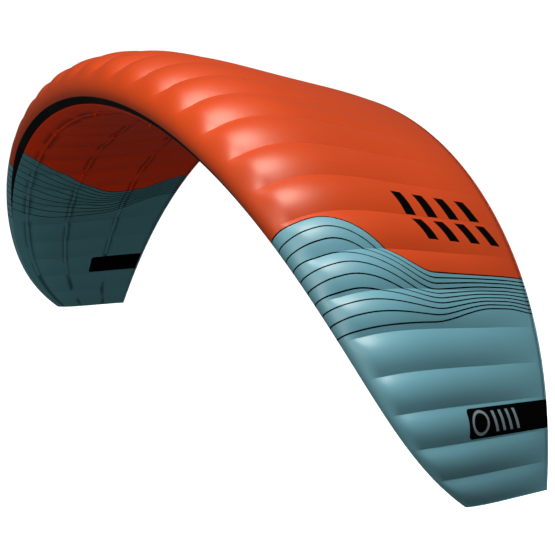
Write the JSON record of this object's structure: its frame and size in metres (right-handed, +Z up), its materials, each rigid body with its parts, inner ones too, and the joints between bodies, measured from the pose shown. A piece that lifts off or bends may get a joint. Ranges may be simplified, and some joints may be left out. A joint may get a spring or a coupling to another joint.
{
  "type": "kitesurf kite",
  "caption": "Closed-cell foil kite in its flying arc, with ribs, skins, an intake strip with valves, bridle tapes, a deflation zip and tip flaps.",
  "frame": {"origin": "middle of the front bridle tape's outer face, on the kite's middle line", "axes": "+X to the right wing tip, +Y from the nose to the trailing edge, +Z up, away from the bridle's side"},
  "size_m": [4.9384, 1.6921, 2.0037],
  "materials": {
    "orange_ripstop": "satin coated ripstop nylon",
    "teal_ripstop": "satin coated ripstop nylon",
    "black_cloth": "matt woven polyester",
    "intake_gauze": "open mesh",
    "valve_cloth": "light coated nylon",
    "rib_cloth": "stiff coated polyester, white",
    "bridle_webbing": "narrow woven tape",
    "zip_tape": "woven zip tape with moulded coil",
    "zip_metal": "satin nickel-plated"
  },
  "bodies": {
    "canopy": {"deflation_zip_tape": "zip_tape", "front_bridle_tape": "bridle_webbing", "intake_gauze_1": "intake_gauze", "intake_gauze_2": "intake_gauze", "intake_gauze_3": "intake_gauze", "intake_gauze_4": "intake_gauze", "intake_gauze_5": "intake_gauze", "intake_strip": "black_cloth", "lower_skin_centre": "orange_ripstop", "lower_skin_left": "teal_ripstop", "lower_skin_right": "teal_ripstop", "middle_bridle_tape": "bridle_webbing", "rear_bridle_tape": "bridle_webbing", "rib_01": "rib_cloth", "rib_02": "rib_cloth", "rib_03": "rib_cloth", "rib_04": "rib_cloth", "rib_05": "rib_cloth", "rib_06": "rib_cloth", "rib_07": "rib_cloth", "rib_08": "rib_cloth", "rib_09": "rib_cloth", "rib_10": "rib_cloth", "rib_11": "rib_cloth", "rib_12": "rib_cloth", "rib_13": "rib_cloth", "rib_14": "rib_cloth", "rib_15": "rib_cloth", "rib_16": "rib_cloth", "rib_17": "rib_cloth", "rib_18": "rib_cloth", "rib_19": "rib_cloth", "rib_20": "rib_cloth", "rib_21": "rib_cloth", "rib_22": "rib_cloth", "rib_23": "rib_cloth", "rib_24": "rib_cloth", "rib_25": "rib_cloth", "rib_26": "rib_cloth", "rib_27": "rib_cloth", "rib_28": "rib_cloth", "rib_29": "rib_cloth", "rib_30": "rib_cloth", "rib_31": "rib_cloth", "rib_32": "rib_cloth", "trailing_edge_hem": "teal_ripstop", "upper_skin_centre": "orange_ripstop", "upper_skin_left": "teal_ripstop", "upper_skin_right": "teal_ripstop"},
    "valve_1": {"valve_flap_1": "valve_cloth"},
    "valve_2": {"valve_flap_2": "valve_cloth"},
    "valve_3": {"valve_flap_3": "valve_cloth"},
    "valve_4": {"valve_flap_4": "valve_cloth"},
    "valve_5": {"valve_flap_5": "valve_cloth"},
    "dirt_port_left": {"dirt_flap_left": "teal_ripstop"},
    "dirt_port_right": {"dirt_flap_right": "teal_ripstop"},
    "slider": {"zip_slider": "zip_metal"},
    "pull": {"zip_pull": "zip_metal"}
  },
  "joints": [
    {"name": "valve_1_hinge", "type": "hinge", "parent": "canopy", "child": "valve_1", "pos_m": [-1.37925, -0.03209, -0.30005], "axis": [-0.8586, 0.1291, -0.4961], "range_deg": [0, 60]},
    {"name": "valve_2_hinge", "type": "hinge", "parent": "canopy", "child": "valve_2", "pos_m": [-0.7345, -0.09647, -0.03491], "axis": [-0.9643, 0.0573, -0.2586], "range_deg": [0, 60]},
    {"name": "valve_3_hinge", "type": "hinge", "parent": "canopy", "child": "valve_3", "pos_m": [0, -0.11723, 0.06108], "axis": [-1, 0, 0], "range_deg": [0, 60]},
    {"name": "valve_4_hinge", "type": "hinge", "parent": "canopy", "child": "valve_4", "pos_m": [0.7345, -0.09647, -0.03491], "axis": [-0.9643, -0.0573, 0.2586], "range_deg": [0, 60]},
    {"name": "valve_5_hinge", "type": "hinge", "parent": "canopy", "child": "valve_5", "pos_m": [1.37925, -0.03209, -0.30005], "axis": [-0.8586, -0.1291, 0.4961], "range_deg": [0, 60]},
    {"name": "dirt_flap_left_hinge", "type": "hinge", "parent": "canopy", "child": "dirt_port_left", "pos_m": [-2.43153, 0.89636, -1.63739], "axis": [-0.9826, 0.0628, 0.175], "range_deg": [0, 120]},
    {"name": "dirt_flap_right_hinge", "type": "hinge", "parent": "canopy", "child": "dirt_port_right", "pos_m": [2.43153, 0.89636, -1.63739], "axis": [-0.9826, -0.0628, -0.175], "range_deg": [0, 120]},
    {"name": "zip_slide", "type": "slide", "parent": "canopy", "child": "slider", "axis": [1, 0, 0], "range_m": [0, 0.19]},
    {"name": "zip_pull_hinge", "type": "hinge", "parent": "slider", "child": "pull", "pos_m": [-0.0955, 1.4217, 0.0887], "axis": [0, 0.9971, 0.0763], "range_deg": [0, 170]}
  ]
}
